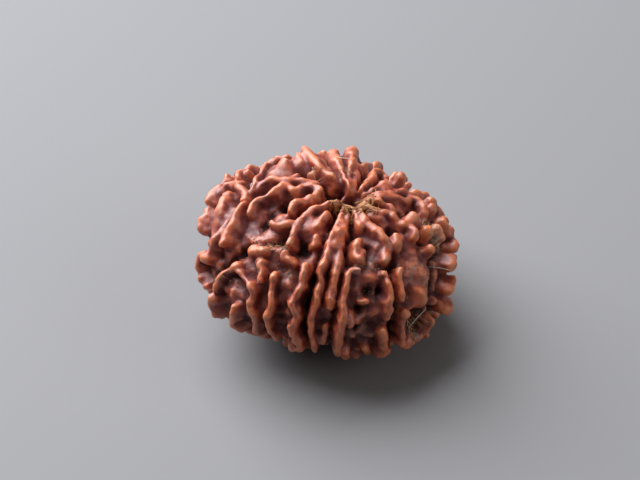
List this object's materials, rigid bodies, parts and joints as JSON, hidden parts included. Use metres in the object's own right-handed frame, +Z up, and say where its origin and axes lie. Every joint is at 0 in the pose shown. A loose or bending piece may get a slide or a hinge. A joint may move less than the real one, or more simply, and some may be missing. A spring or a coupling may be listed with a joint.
{
  "type": "rudraksha seed",
  "caption": "Woody rudraksha seed: a squat round stone with deep clefts from pole to pole and knobby ridges, which rests on its lower ridges.",
  "frame": {"origin": "middle of the footprint, on the surface that the seed rests on", "axes": "+Z up, roughly along the line between the poles, which leans towards +X; the picture looks at the -Y side from above"},
  "size_m": [0.0272, 0.027, 0.0166],
  "materials": {
    "stone": "dry reddish-brown fruit stone, rubbed to a soft waxy shine on the ridges, matt and dark in the pits"
  },
  "bodies": {
    "root": {"rudraksha_seed": "stone"}
  },
  "joints": []
}
